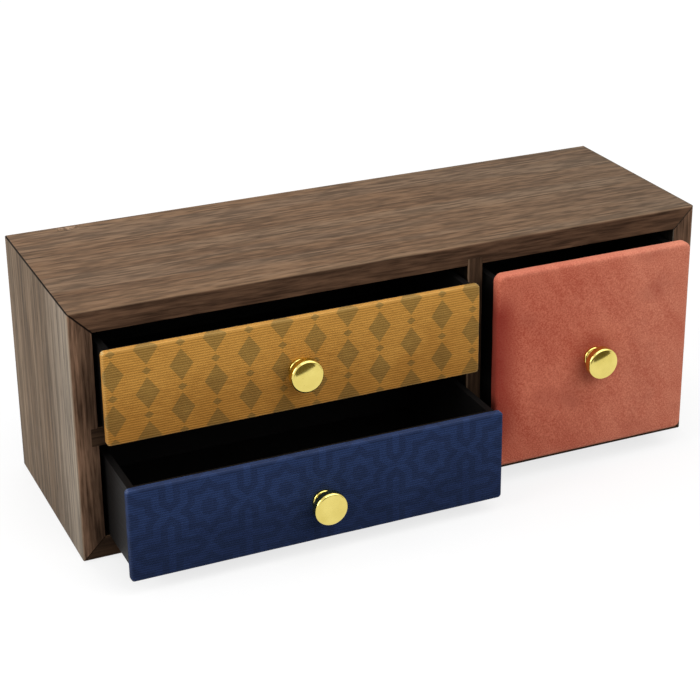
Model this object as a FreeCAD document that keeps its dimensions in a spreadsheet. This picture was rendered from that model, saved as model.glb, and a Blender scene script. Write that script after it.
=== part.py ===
import FreeCAD, Part
import math
import os

import Sketcher

# A desk-top chest: a mitred wooden carcass with two wide drawers on the left and a tall one on the right.
# The drawers have fabric-wrapped planted fronts and turned brass knobs, and stand partly open.
# Frame: X across the chest, the front towards -Y, Z up, origin at the middle of the base. Millimetres.

# Driving dimensions, each written once
SIZES = {
    # Carcass
    "cabinet_width": 300.0,
    "cabinet_depth": 100.0,
    "cabinet_height": 115.0,
    "board_thickness": 10.0,
    "arris_radius": 1.0,
    "mitre_gap": 0.25,
    "wide_bay_width": 172.6,
    "divider_thickness": 7.0,
    "shelf_thickness": 8.0,
    "housing_depth": 3.0,
    "back_thickness": 3.0,
    "back_inset": 4.0,
    "back_groove_depth": 4.0,
    "joint_clearance": 0.1,
    "cut_overrun": 5.0,
    # Drawer boxes and how they sit in their bays
    "side_gap": 2.2,
    "head_room": 6.0,
    "run_gap": 0.25,
    "stop_gap": 0.3,
    "back_room": 7.0,
    "box_wall": 3.0,
    "box_lap": 1.5,
    "bottom_thickness": 2.0,
    "bottom_lift": 2.0,
    "bottom_groove_depth": 1.5,
    "upper_pull": 8.5,
    "lower_pull": 32.0,
    "tall_pull": 9.7,
    # Planted fronts and their covers
    "front_board_thickness": 2.0,
    "wide_front_drop": 3.5,
    "wide_front_rise": 1.2,
    "wide_front_gap": 0.3,
    "wide_corner_radius": 1.0,
    "weave_thickness": 0.6,
    "weave_edge_radius": 0.8,
    "tall_front_drop": 0.5,
    "tall_front_rise": 4.4,
    "tall_front_gap": 0.2,
    "tall_corner_radius": 3.0,
    "velvet_thickness": 0.7,
    "velvet_edge_radius": 2.4,
    "foam_thickness": 1.5,
    "turn_in": 12.0,
    # Knobs, a little below the middle of their fronts, and what holds them
    "wide_knob_drop": 2.5,
    "tall_knob_drop": 0.8,
    "knob_projection": 10.0,
    "knob_base_diameter": 10.2,
    "knob_base_rim": 0.7,
    "knob_base_round": 0.8,
    "knob_neck_diameter": 7.2,
    "knob_head_diameter": 15.0,
    "knob_head_back": 5.2,
    "knob_head_round": 0.9,
    "knob_face_round": 0.5,
    "knob_face_crown": 0.5,
    "knob_bore_depth": 7.0,
    "thread_clearance": 0.05,
    "screw_diameter": 4.0,
    "screw_end_gap": 1.0,
    "screw_tip": 0.6,
    "screw_head_diameter": 7.6,
    "screw_head_height": 2.4,
    "screw_head_rim": 0.8,
    "screw_recess_span": 4.2,
    "screw_recess_width": 1.0,
    "screw_recess_depth": 1.4,
    "screw_clearance": 0.2,
    "washer_diameter": 9.0,
    "washer_thickness": 0.8,
    # A rounding takes at most this share of the thickness that it is cut from
    "round_limit_share": 0.95,
}

# Two places closer than this count as the same place when an edge is looked up
SAME_PLACE = 1e-5

# Sizes and places of the carcass, worked out from the driving dimensions
LAYOUT = {
    "half_width": "Sizes.cabinet_width / 2",
    "half_depth": "Sizes.cabinet_depth / 2",
    "inner_half_width": "half_width - Sizes.board_thickness",
    "ceiling": "Sizes.cabinet_height - Sizes.board_thickness",
    "clear_height": "ceiling - Sizes.board_thickness",
    "wide_bay_height": "(clear_height - Sizes.shelf_thickness) / 2",
    "shelf_underside": "Sizes.board_thickness + wide_bay_height",
    "shelf_top": "shelf_underside + Sizes.shelf_thickness",
    "divider_left": "Sizes.wide_bay_width - inner_half_width",
    "divider_right": "divider_left + Sizes.divider_thickness",
    "clear_right_width": "inner_half_width - divider_right",
    "back_rear": "half_depth - Sizes.back_inset",
    "back_front": "back_rear - Sizes.back_thickness",
    "bay_depth": "half_depth + back_front",
    "box_length": "bay_depth + Sizes.stop_gap - Sizes.back_room",
    "groove_half_width": "inner_half_width + Sizes.back_groove_depth",
    "back_half_width": "groove_half_width - Sizes.joint_clearance",
    "bottom_groove_top": "Sizes.bottom_lift + Sizes.bottom_thickness + Sizes.joint_clearance",
    # Radii of the knob's cove and face, and of the screw's head, from the sizes that they join
    "knob_cove_foot": "Sizes.knob_base_diameter / 2 - Sizes.knob_base_round",
    "knob_cove_low": "Sizes.knob_base_rim + Sizes.knob_base_round",
    "knob_cove_top": "Sizes.knob_head_diameter / 2 - Sizes.knob_head_round",
    "knob_cove_rise": "Sizes.knob_head_back - knob_cove_low",
    "knob_cove_spread": "knob_cove_top - knob_cove_foot",
    "knob_cove_sink": "(knob_cove_foot + knob_cove_top - Sizes.knob_neck_diameter) / 2",
    "knob_cove_chord": "sqrt(knob_cove_rise ^ 2 + knob_cove_spread ^ 2)",
    "knob_cove_radius": "(knob_cove_chord ^ 2 / 4 + knob_cove_sink ^ 2) / (2 * knob_cove_sink)",
    "knob_face_reach": "Sizes.knob_head_diameter / 2 - Sizes.knob_face_round",
    "knob_face_edge": "Sizes.knob_projection - Sizes.knob_face_crown",
    "knob_face_radius": "(knob_face_reach ^ 2 + Sizes.knob_face_crown ^ 2) / (2 * Sizes.knob_face_crown)",
    "screw_hole_diameter": "Sizes.screw_diameter + 2 * Sizes.screw_clearance",
    "screw_dome": "Sizes.screw_head_height - Sizes.screw_head_rim",
    "screw_dome_radius": "((Sizes.screw_head_diameter / 2) ^ 2 + screw_dome ^ 2) / (2 * screw_dome)",
}

# What differs from drawer to drawer: its bay, its front and its cover
DRAWERS = {
    "upper": {
        "bay_width": "Sizes.wide_bay_width",
        "bay_height": "wide_bay_height",
        "bay_floor": "shelf_top",
        "centre": "(divider_left - inner_half_width) / 2",
        "front_width": "Sizes.wide_bay_width - 2 * Sizes.wide_front_gap",
        "drop": "Sizes.wide_front_drop",
        "rise": "Sizes.wide_front_rise",
        "corner": "Sizes.wide_corner_radius",
        "knob_drop": "Sizes.wide_knob_drop",
        "cover": "Sizes.weave_thickness",
        "edge": "Sizes.weave_edge_radius",
        "padding": "0",
    },
    "lower": {
        "bay_width": "Sizes.wide_bay_width",
        "bay_height": "wide_bay_height",
        "bay_floor": "Sizes.board_thickness",
        "centre": "(divider_left - inner_half_width) / 2",
        "front_width": "Sizes.wide_bay_width - 2 * Sizes.wide_front_gap",
        "drop": "Sizes.wide_front_drop",
        "rise": "Sizes.wide_front_rise",
        "corner": "Sizes.wide_corner_radius",
        "knob_drop": "Sizes.wide_knob_drop",
        "cover": "Sizes.weave_thickness",
        "edge": "Sizes.weave_edge_radius",
        "padding": "0",
    },
    "tall": {
        "bay_width": "clear_right_width",
        "bay_height": "clear_height",
        "bay_floor": "Sizes.board_thickness",
        "centre": "(divider_right + inner_half_width) / 2",
        "front_width": "clear_right_width - 2 * Sizes.tall_front_gap",
        "drop": "Sizes.tall_front_drop",
        "rise": "Sizes.tall_front_rise",
        "corner": "Sizes.tall_corner_radius",
        "knob_drop": "Sizes.tall_knob_drop",
        "cover": "Sizes.velvet_thickness",
        "edge": "Sizes.velvet_edge_radius",
        "padding": "Sizes.foam_thickness",
    },
}

# Sizes and places of every drawer, from its own values above; NAME stands for the drawer's name.
# A drawer's own origin is at the back of its front, over the middle of the lower edge of its box.
DRAWER_LAYOUT = {
    "box_half": "(NAME_bay_width - 2 * Sizes.side_gap) / 2",
    "inner_half": "NAME_box_half - Sizes.box_wall",
    "lap_half": "NAME_inner_half + Sizes.box_lap",
    "box_height": "NAME_bay_height - Sizes.head_room",
    "front_half": "NAME_front_width / 2",
    "front_low": "-NAME_drop",
    "front_high": "NAME_box_height + NAME_rise",
    "front_middle": "(NAME_front_low + NAME_front_high) / 2",
    "core": "Sizes.front_board_thickness + NAME_padding",
    "core_round": "min(NAME_edge - NAME_cover; NAME_rounded_layer * Sizes.round_limit_share)",
    "cover_corner": "NAME_corner + NAME_cover",
    "cover_edge": "NAME_core_round + NAME_cover",
    "face": "NAME_core + 2 * NAME_cover",
    "place_y": "-(half_depth + Sizes.stop_gap + Sizes.NAME_pull)",
    "place_z": "NAME_bay_floor + Sizes.run_gap",
    "knob_y": "NAME_place_y - NAME_face",
    "knob_middle": "NAME_front_middle - NAME_knob_drop",
    "knob_z": "NAME_place_z + NAME_knob_middle",
    "screw_seat": "Sizes.box_wall + Sizes.washer_thickness",
    "screw_length": "NAME_screw_seat + NAME_face + Sizes.knob_bore_depth - Sizes.screw_end_gap",
}

doc = FreeCAD.newDocument("DeskChest")


def fill_sheet(name, cells):
    """Writes one row per value, its name in column A and its value, with that name as alias, in column B."""
    sheet = doc.addObject("Spreadsheet::Sheet", name)
    for row, (alias, content) in enumerate(cells.items(), start=1):
        sheet.set(f"A{row}", alias)
        sheet.set(f"B{row}", content)
        sheet.setAlias(f"B{row}", alias)
    doc.recompute()
    return sheet


def layout_cells():
    """All formulas: the carcass, then each drawer's own values and what follows from them."""
    cells = dict(LAYOUT)
    for name, own_values in DRAWERS.items():
        for what, formula in own_values.items():
            cells[f"{name}_{what}"] = formula
        rounded_layer = "NAME_padding" if own_values["padding"] != "0" else "Sizes.front_board_thickness"
        cells[f"{name}_rounded_layer"] = rounded_layer.replace("NAME", name)
        for what, formula in DRAWER_LAYOUT.items():
            cells[f"{name}_{what}"] = formula.replace("NAME", name)
    return {alias: f"={formula}" for alias, formula in cells.items()}


fill_sheet("Sizes", {alias: str(value) for alias, value in SIZES.items()})
layout = fill_sheet("Layout", layout_cells())


def number(expression):
    """The present value of an expression on the two sheets."""
    return float(layout.evalExpression(expression))


def new_body(label):
    body = doc.addObject("PartDesign::Body", label)
    body.Label = label
    return body


def place_body(body, x, y, z):
    for axis, expression in (("x", x), ("y", y), ("z", z)):
        body.setExpression(f"Placement.Base.{axis}", expression)


def new_sketch(body, role, lift="0"):
    """A sketch on one of the body's own planes, moved along that plane's normal by lift."""
    sketch = body.newObject("Sketcher::SketchObject", "Outline")
    plane = next(feature for feature in body.Origin.OriginFeatures if feature.Role == role)
    sketch.AttachmentSupport = [(plane, "")]
    sketch.MapMode = "FlatFace"
    sketch.setExpression("AttachmentOffset.Base.z", lift)
    return sketch


def bind_point(sketch, edge, point, x, y):
    """Ties a point of an edge to the sketch's origin by two expressions."""
    for kind, expression in (("DistanceX", x), ("DistanceY", y)):
        constraint = Sketcher.Constraint(kind, -1, 1, edge, point, number(expression))
        index = sketch.addConstraint(constraint)
        sketch.setExpression(f"Constraints[{index}]", expression)


def arc_between(start, end, radius, hollow):
    """An arc of under a half circle from start to end, swelling to the right, or to the left if hollow."""
    chord = end - start
    left = FreeCAD.Vector(-chord.y, chord.x, 0).normalize()
    height = math.sqrt(max(radius ** 2 - (chord.Length / 2) ** 2, 0))
    centre = (start + end) / 2 + left * (-height if hollow else height)
    first, last = (end, start) if hollow else (start, end)
    angles = [math.atan2(place.y - centre.y, place.x - centre.x) for place in (first, last)]
    return Part.ArcOfCircle(Part.Circle(centre, FreeCAD.Vector(0, 0, 1), radius), *angles)


def draw_loop(sketch, corners, rounds=None, coves=None):
    """A closed loop through corners, given as pairs of expressions, anticlockwise where it has arcs.

    rounds and coves give the radius of each edge that curves outwards or inwards, by its first corner.
    """
    radii = (rounds or {}) | (coves or {})
    places = [FreeCAD.Vector(number(x), number(y), 0) for x, y in corners]
    edges = []
    for index, start in enumerate(places):
        end = places[(index + 1) % len(places)]
        hollow = index in (coves or {})
        if index in radii:
            shape = arc_between(start, end, number(radii[index]), hollow)
        else:
            shape = Part.LineSegment(start, end)
        first_point, last_point = (2, 1) if hollow else (1, 2)
        edges.append((sketch.addGeometry(shape), first_point, last_point))
    for index, (edge, first_point, last_point) in enumerate(edges):
        before = edges[index - 1]
        sketch.addConstraint(Sketcher.Constraint("Coincident", before[0], before[2], edge, first_point))
        bind_point(sketch, edge, first_point, *corners[index])
        if index in radii:
            radius = sketch.addConstraint(Sketcher.Constraint("Radius", edge, number(radii[index])))
            sketch.setExpression(f"Constraints[{radius}]", radii[index])


def draw_rectangle(sketch, left, right, low, high):
    draw_loop(sketch, [(left, low), (right, low), (right, high), (left, high)])


def draw_rounded_rectangle(sketch, half, low, high, radius):
    """A rectangle about the vertical axis with its four corners rounded."""
    inner_left, inner_right = f"-({half} - {radius})", f"{half} - {radius}"
    inner_low, inner_high = f"{low} + {radius}", f"{high} - {radius}"
    corners = [
        (inner_left, low), (inner_right, low), (half, inner_low), (half, inner_high),
        (inner_right, high), (inner_left, high), (f"-{half}", inner_high), (f"-{half}", inner_low),
    ]
    draw_loop(sketch, corners, rounds={1: radius, 3: radius, 5: radius, 7: radius})


def draw_circle(sketch, x, y, diameter):
    centre = FreeCAD.Vector(number(x), number(y), 0)
    edge = sketch.addGeometry(Part.Circle(centre, FreeCAD.Vector(0, 0, 1), number(diameter) / 2))
    bind_point(sketch, edge, 3, x, y)
    index = sketch.addConstraint(Sketcher.Constraint("Diameter", edge, number(diameter)))
    sketch.setExpression(f"Constraints[{index}]", diameter)


def pad(body, sketch, length, side="One side", backward=False):
    feature = body.newObject("PartDesign::Pad", "Pad")
    feature.Profile = sketch
    feature.SideType = side
    feature.Reversed = backward
    feature.setExpression("Length", length)
    doc.recompute()
    return feature


def cut(body, sketch, length, side="One side", along_normal=False):
    """A pocket from the sketch against its normal, or along it, that has to take material away."""
    volume_before = body.Shape.Volume
    feature = body.newObject("PartDesign::Pocket", "Pocket")
    feature.Profile = sketch
    feature.SideType = side
    feature.Reversed = along_normal
    feature.setExpression("Length", length)
    doc.recompute()
    if body.Shape.Volume >= volume_before:
        raise ValueError(f"a cut in {body.Label} takes nothing away")
    return feature


def revolve(body, sketch):
    feature = body.newObject("PartDesign::Revolution", "Revolution")
    feature.Profile = sketch
    feature.ReferenceAxis = (sketch, ["V_Axis"])
    doc.recompute()
    return feature


def fillet(body, base, radius, belongs):
    """Rounds the edges of a feature for which belongs, given an edge's box, is true."""
    names = []
    for index, edge in enumerate(base.Shape.Edges, start=1):
        if belongs(edge.BoundBox):
            names.append(f"Edge{index}")
    feature = body.newObject("PartDesign::Fillet", "Fillet")
    feature.Base = (base, names)
    feature.setExpression("Radius", radius)
    doc.recompute()
    return feature


def lies_at(low, high, place):
    return abs(low - place) < SAME_PLACE and abs(high - place) < SAME_PLACE


def on_plane_y(place):
    """A test for edges that lie in the plane across Y at place."""
    return lambda box: lies_at(box.YMin, box.YMax, place)


def ease_outer_arrises(body, base, axis, place):
    """Eases the two long edges where a board's outer face, across axis at place, meets its front and rear."""
    half_depth = number("Layout.half_depth")

    def belongs(box):
        on_face = lies_at(getattr(box, axis + "Min"), getattr(box, axis + "Max"), place)
        at_rear = lies_at(box.YMin, box.YMax, half_depth)
        at_front = lies_at(box.YMin, box.YMax, -half_depth)
        return on_face and (at_rear or at_front)

    fillet(body, base, "Sizes.arris_radius", belongs)


def cut_housing(body, left, right, low, high):
    """A housing that runs from the front edge back to the groove for the back panel."""
    sketch = new_sketch(body, "XZ_Plane", "Layout.half_depth + Sizes.cut_overrun")
    draw_rectangle(sketch, left, right, low, high)
    cut(body, sketch, "Layout.bay_depth + Sizes.cut_overrun")


BACK_GROOVE_FRONT = "Layout.back_front - Sizes.joint_clearance"
BACK_GROOVE_REAR = "Layout.back_rear + Sizes.joint_clearance"


def make_level_board(label, outer, inner, away):
    """The top or bottom board: mitred ends, a housing for the divider and a groove for the back.

    outer and inner are the heights of its faces, and away is the sign of the way from inner to outer.
    """
    body = new_body(label)
    outer_half = "(Layout.half_width - Sizes.mitre_gap)"
    inner_half = "(Layout.inner_half_width - Sizes.mitre_gap)"
    sketch = new_sketch(body, "XZ_Plane")
    corners = [(f"-{outer_half}", outer), (outer_half, outer), (inner_half, inner), (f"-{inner_half}", inner)]
    draw_loop(sketch, corners)
    board = pad(body, sketch, "Sizes.cabinet_depth", side="Symmetric")
    ease_outer_arrises(body, board, "Z", number(outer))
    below_inner = f"{inner} - {away} * Sizes.cut_overrun"
    housing_left = "Layout.divider_left - Sizes.joint_clearance"
    housing_right = "Layout.divider_right + Sizes.joint_clearance"
    cut_housing(body, housing_left, housing_right, below_inner, f"{inner} + {away} * Sizes.housing_depth")
    groove = new_sketch(body, "YZ_Plane")
    groove_floor = f"{inner} + {away} * Sizes.back_groove_depth"
    draw_rectangle(groove, BACK_GROOVE_FRONT, BACK_GROOVE_REAR, below_inner, groove_floor)
    cut(body, groove, "Sizes.cabinet_width + Sizes.cut_overrun", side="Symmetric")


def make_side_board(label, sign, has_shelf):
    """A side board: mitred ends, a groove for the back and, on the shelf's side, a housing for the shelf."""
    body = new_body(label)
    outer = f"{sign} * Layout.half_width"
    inner = f"{sign} * Layout.inner_half_width"
    inside = f"{sign} * (Layout.inner_half_width - Sizes.cut_overrun)"
    sketch = new_sketch(body, "XZ_Plane")
    corners = [
        (outer, "Sizes.mitre_gap"),
        (outer, "Sizes.cabinet_height - Sizes.mitre_gap"),
        (inner, "Layout.ceiling - Sizes.mitre_gap"),
        (inner, "Sizes.board_thickness + Sizes.mitre_gap"),
    ]
    draw_loop(sketch, corners)
    board = pad(body, sketch, "Sizes.cabinet_depth", side="Symmetric")
    ease_outer_arrises(body, board, "X", number(outer))
    if has_shelf:
        housing_floor = f"{sign} * (Layout.inner_half_width + Sizes.housing_depth)"
        low = "Layout.shelf_underside - Sizes.joint_clearance"
        high = "Layout.shelf_top + Sizes.joint_clearance"
        cut_housing(body, inside, housing_floor, low, high)
    groove = new_sketch(body, "XY_Plane", "Sizes.cabinet_height / 2")
    groove_floor = f"{sign} * Layout.groove_half_width"
    draw_rectangle(groove, inside, groove_floor, BACK_GROOVE_FRONT, BACK_GROOVE_REAR)
    cut(body, groove, "Sizes.cabinet_height + Sizes.cut_overrun", side="Symmetric")


def make_back_panel():
    body = new_body("back_panel")
    sketch = new_sketch(body, "XZ_Plane", "-Layout.back_rear")
    reach = "(Sizes.back_groove_depth - Sizes.joint_clearance)"
    low = f"Sizes.board_thickness - {reach}"
    high = f"Layout.ceiling + {reach}"
    draw_rectangle(sketch, "-Layout.back_half_width", "Layout.back_half_width", low, high)
    pad(body, sketch, "Sizes.back_thickness")


def make_divider():
    """The upright between the wide bays and the tall one, with a housing for the shelf in its left face."""
    body = new_body("divider")
    sketch = new_sketch(body, "XZ_Plane", "Layout.half_depth")
    reach = "(Sizes.housing_depth - Sizes.joint_clearance)"
    low = f"Sizes.board_thickness - {reach}"
    high = f"Layout.ceiling + {reach}"
    draw_rectangle(sketch, "Layout.divider_left", "Layout.divider_right", low, high)
    pad(body, sketch, "Layout.bay_depth - Sizes.joint_clearance", backward=True)
    outside = "Layout.divider_left - Sizes.cut_overrun"
    housing_floor = "Layout.divider_left + Sizes.housing_depth"
    housing_low = "Layout.shelf_underside - Sizes.joint_clearance"
    cut_housing(body, outside, housing_floor, housing_low, "Layout.shelf_top + Sizes.joint_clearance")


def make_shelf():
    body = new_body("drawer_shelf")
    sketch = new_sketch(body, "XZ_Plane", "Layout.half_depth")
    reach = "(Sizes.housing_depth - Sizes.joint_clearance)"
    left = f"-(Layout.inner_half_width + {reach})"
    right = f"Layout.divider_left + {reach}"
    draw_rectangle(sketch, left, right, "Layout.shelf_underside", "Layout.shelf_top")
    pad(body, sketch, "Layout.bay_depth - Sizes.joint_clearance", backward=True)


class Drawer:
    """One drawer: its box, its covered front and its knob, all placed from the drawer's own origin."""

    def __init__(self, name):
        self.name = name

    def value(self, what):
        return f"Layout.{self.name}_{what}"

    def body(self, piece):
        body = new_body(f"{self.name}_{piece}")
        place_body(body, self.value("centre"), self.value("place_y"), self.value("place_z"))
        return body

    def cut_screw_hole(self, body):
        sketch = new_sketch(body, "XZ_Plane", f"{self.value('face')} + Sizes.cut_overrun")
        draw_circle(sketch, "0", self.value("knob_middle"), "Layout.screw_hole_diameter")
        cut(body, sketch, f"{self.value('face')} + Sizes.box_wall + 2 * Sizes.cut_overrun")

    def make_box_side(self, piece, sign):
        """A box side with a lap at each end for the front and back walls and a groove for the bottom."""
        body = self.body(piece)
        outer = f"{sign} * {self.value('box_half')}"
        lap = f"{sign} * {self.value('lap_half')}"
        inner = f"{sign} * {self.value('inner_half')}"
        back_wall = "Layout.box_length - Sizes.box_wall"
        sketch = new_sketch(body, "XY_Plane")
        corners = [
            (outer, "0"), (outer, "Layout.box_length"), (lap, "Layout.box_length"), (lap, back_wall),
            (inner, back_wall), (inner, "Sizes.box_wall"), (lap, "Sizes.box_wall"), (lap, "0"),
        ]
        draw_loop(sketch, corners)
        pad(body, sketch, self.value("box_height"))
        groove = new_sketch(body, "XZ_Plane", "Sizes.cut_overrun")
        groove_floor = f"{sign} * ({self.value('inner_half')} + Sizes.bottom_groove_depth)"
        inside = f"{sign} * ({self.value('inner_half')} - Sizes.cut_overrun)"
        draw_rectangle(groove, inside, groove_floor, "Sizes.bottom_lift", "Layout.bottom_groove_top")
        cut(body, groove, "Layout.box_length + 2 * Sizes.cut_overrun")

    def make_box_front(self):
        body = self.body("box_front")
        half = f"({self.value('lap_half')} - Sizes.joint_clearance)"
        sketch = new_sketch(body, "XY_Plane")
        draw_rectangle(sketch, f"-{half}", half, "0", "Sizes.box_wall")
        pad(body, sketch, self.value("box_height"))
        groove = new_sketch(body, "YZ_Plane")
        groove_floor = "Sizes.box_wall - Sizes.bottom_groove_depth"
        inside = "Sizes.box_wall + Sizes.cut_overrun"
        draw_rectangle(groove, groove_floor, inside, "Sizes.bottom_lift", "Layout.bottom_groove_top")
        cut(body, groove, f"2 * ({half} + Sizes.cut_overrun)", side="Symmetric")
        self.cut_screw_hole(body)

    def make_box_back(self):
        """The back wall, which stands on the bottom so that the bottom slides in under it."""
        body = self.body("box_back")
        half = f"({self.value('lap_half')} - Sizes.joint_clearance)"
        sketch = new_sketch(body, "XY_Plane", "Layout.bottom_groove_top")
        draw_rectangle(sketch, f"-{half}", half, "Layout.box_length - Sizes.box_wall", "Layout.box_length")
        pad(body, sketch, f"{self.value('box_height')} - Layout.bottom_groove_top")

    def make_box_bottom(self):
        body = self.body("box_bottom")
        reach = "Sizes.bottom_groove_depth - Sizes.joint_clearance"
        half = f"({self.value('inner_half')} + {reach})"
        sketch = new_sketch(body, "XY_Plane", "Sizes.bottom_lift")
        draw_rectangle(sketch, f"-{half}", half, f"Sizes.box_wall - ({reach})", "Layout.box_length")
        pad(body, sketch, "Sizes.bottom_thickness")

    def draw_core(self, sketch):
        """The outline of the front board, and of the foam on it, inside the cover."""
        half = f"({self.value('front_half')} - {self.value('cover')})"
        low = f"({self.value('front_low')} + {self.value('cover')})"
        high = f"({self.value('front_high')} - {self.value('cover')})"
        draw_rounded_rectangle(sketch, half, low, high, self.value("corner"))

    def draw_cover(self, sketch):
        sizes = (self.value(what) for what in ("front_half", "front_low", "front_high", "cover_corner"))
        draw_rounded_rectangle(sketch, *sizes)

    def core_front(self):
        return -number(f"{self.value('cover')} + {self.value('core')}")

    def make_front_board(self):
        body = self.body("front_board")
        sketch = new_sketch(body, "XZ_Plane", self.value("cover"))
        self.draw_core(sketch)
        board = pad(body, sketch, "Sizes.front_board_thickness")
        if not self.is_padded():
            fillet(body, board, self.value("core_round"), on_plane_y(self.core_front()))
        self.cut_screw_hole(body)

    def is_padded(self):
        return number(self.value("padding")) > 0

    def make_front_foam(self):
        body = self.body("front_foam")
        sketch = new_sketch(body, "XZ_Plane", f"{self.value('cover')} + Sizes.front_board_thickness")
        self.draw_core(sketch)
        foam = pad(body, sketch, self.value("padding"))
        fillet(body, foam, self.value("core_round"), on_plane_y(self.core_front()))
        self.cut_screw_hole(body)

    def make_front_cover(self, piece):
        """Fabric over the face and the edges of the front, turned in on its back round a bare window."""
        body = self.body(piece)
        outside = new_sketch(body, "XZ_Plane", self.value("cover"))
        self.draw_cover(outside)
        pad(body, outside, f"{self.value('core')} + {self.value('cover')}")
        inside = new_sketch(body, "XZ_Plane", self.value("cover"))
        self.draw_core(inside)
        recess = cut(body, inside, self.value("core"), along_normal=True)
        shell = fillet(body, recess, self.value("core_round"), on_plane_y(self.core_front()))
        face = -number(self.value("face"))
        fillet(body, shell, self.value("cover_edge"), on_plane_y(face))
        rim = new_sketch(body, "XZ_Plane")
        self.draw_cover(rim)
        window_half = f"({self.value('front_half')} - Sizes.turn_in)"
        window_low = f"{self.value('front_low')} + Sizes.turn_in"
        window_high = f"{self.value('front_high')} - Sizes.turn_in"
        draw_rectangle(rim, f"-{window_half}", window_half, window_low, window_high)
        pad(body, rim, self.value("cover"))
        self.cut_screw_hole(body)

    def turned_body(self, piece, y):
        """A body whose own Z axis points forward along the knob's axis, with its origin at y."""
        body = new_body(f"{self.name}_{piece}")
        body.Placement.Rotation = FreeCAD.Rotation(FreeCAD.Vector(1, 0, 0), 90)
        place_body(body, self.value("centre"), y, self.value("knob_z"))
        return body

    def make_knob(self):
        """A turned knob: a flange, a coved neck and a slightly domed head, bored for its screw."""
        body = self.turned_body("knob", self.value("knob_y"))
        bore = "Sizes.screw_diameter / 2 + Sizes.thread_clearance"
        base = "Sizes.knob_base_diameter / 2"
        head = "Sizes.knob_head_diameter / 2"
        corners = [
            ("0", "Sizes.knob_bore_depth"),
            (bore, "Sizes.knob_bore_depth"),
            (bore, "0"),
            (base, "0"),
            (base, "Sizes.knob_base_rim"),
            ("Layout.knob_cove_foot", "Layout.knob_cove_low"),
            ("Layout.knob_cove_top", "Sizes.knob_head_back"),
            (head, "Sizes.knob_head_back + Sizes.knob_head_round"),
            (head, "Layout.knob_face_edge - Sizes.knob_face_round"),
            ("Layout.knob_face_reach", "Layout.knob_face_edge"),
            ("0", "Sizes.knob_projection"),
        ]
        rounds = {
            4: "Sizes.knob_base_round",
            6: "Sizes.knob_head_round",
            8: "Sizes.knob_face_round",
            9: "Layout.knob_face_radius",
        }
        sketch = new_sketch(body, "XZ_Plane")
        draw_loop(sketch, corners, rounds=rounds, coves={5: "Layout.knob_cove_radius"})
        revolve(body, sketch)

    def make_screw(self):
        """A pan-head screw with a cross recess, from the inside of the box into the knob."""
        body = self.turned_body("knob_screw", f"{self.value('place_y')} + {self.value('screw_seat')}")
        shank = "Sizes.screw_diameter / 2"
        head = "Sizes.screw_head_diameter / 2"
        length = self.value("screw_length")
        corners = [
            ("0", "-Sizes.screw_head_height"),
            (head, "-Sizes.screw_head_rim"),
            (head, "0"),
            (shank, "0"),
            (shank, f"{length} - Sizes.screw_tip"),
            (f"{shank} - Sizes.screw_tip", length),
            ("0", length),
        ]
        sketch = new_sketch(body, "XZ_Plane")
        draw_loop(sketch, corners, rounds={0: "Layout.screw_dome_radius"})
        revolve(body, sketch)
        span = "Sizes.screw_recess_span / 2"
        width = "Sizes.screw_recess_width / 2"
        for half_x, half_y in ((span, width), (width, span)):
            slot = new_sketch(body, "XY_Plane", "-(Sizes.screw_head_height + Sizes.cut_overrun)")
            draw_rectangle(slot, f"-{half_x}", half_x, f"-{half_y}", half_y)
            cut(body, slot, "Sizes.screw_recess_depth + Sizes.cut_overrun", along_normal=True)

    def make_washer(self):
        body = self.turned_body("knob_washer", f"{self.value('place_y')} + {self.value('screw_seat')}")
        sketch = new_sketch(body, "XZ_Plane")
        bore = "Layout.screw_hole_diameter / 2"
        draw_rectangle(sketch, bore, "Sizes.washer_diameter / 2", "0", "Sizes.washer_thickness")
        revolve(body, sketch)

    def make(self):
        self.make_box_side("box_left", -1)
        self.make_box_side("box_right", 1)
        self.make_box_front()
        self.make_box_back()
        self.make_box_bottom()
        self.make_front_board()
        if self.is_padded():
            self.make_front_foam()
        self.make_front_cover("front_velvet" if self.is_padded() else "front_weave")
        self.make_knob()
        self.make_screw()
        self.make_washer()


def check_document():
    """Stops if a feature failed or a piece isn't one valid solid."""
    doc.recompute()
    for item in doc.Objects:
        if "Invalid" in item.State or "Error" in item.State:
            raise ValueError(f"{item.Label} failed: {item.State}")
    for body in pieces():
        shape = body.Shape
        if shape.isNull() or not shape.isValid() or len(shape.Solids) != 1:
            raise ValueError(f"{body.Label} is not one valid solid")


def pieces():
    return [item for item in doc.Objects if item.TypeId == "PartDesign::Body"]


def export_pieces():
    os.makedirs("parts", exist_ok=True)
    for body in pieces():
        body.Shape.exportStep(f"parts/{body.Label}.step")


make_level_board("top_board", "Sizes.cabinet_height", "Layout.ceiling", 1)
make_level_board("bottom_board", "0", "Sizes.board_thickness", -1)
make_side_board("left_side", -1, has_shelf=True)
make_side_board("right_side", 1, has_shelf=False)
make_back_panel()
make_divider()
make_shelf()
for drawer_name in DRAWERS:
    Drawer(drawer_name).make()

check_document()
export_pieces()
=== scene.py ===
import math
from types import SimpleNamespace

import bmesh
import bpy
from mathutils import Matrix, Vector, noise


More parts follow.
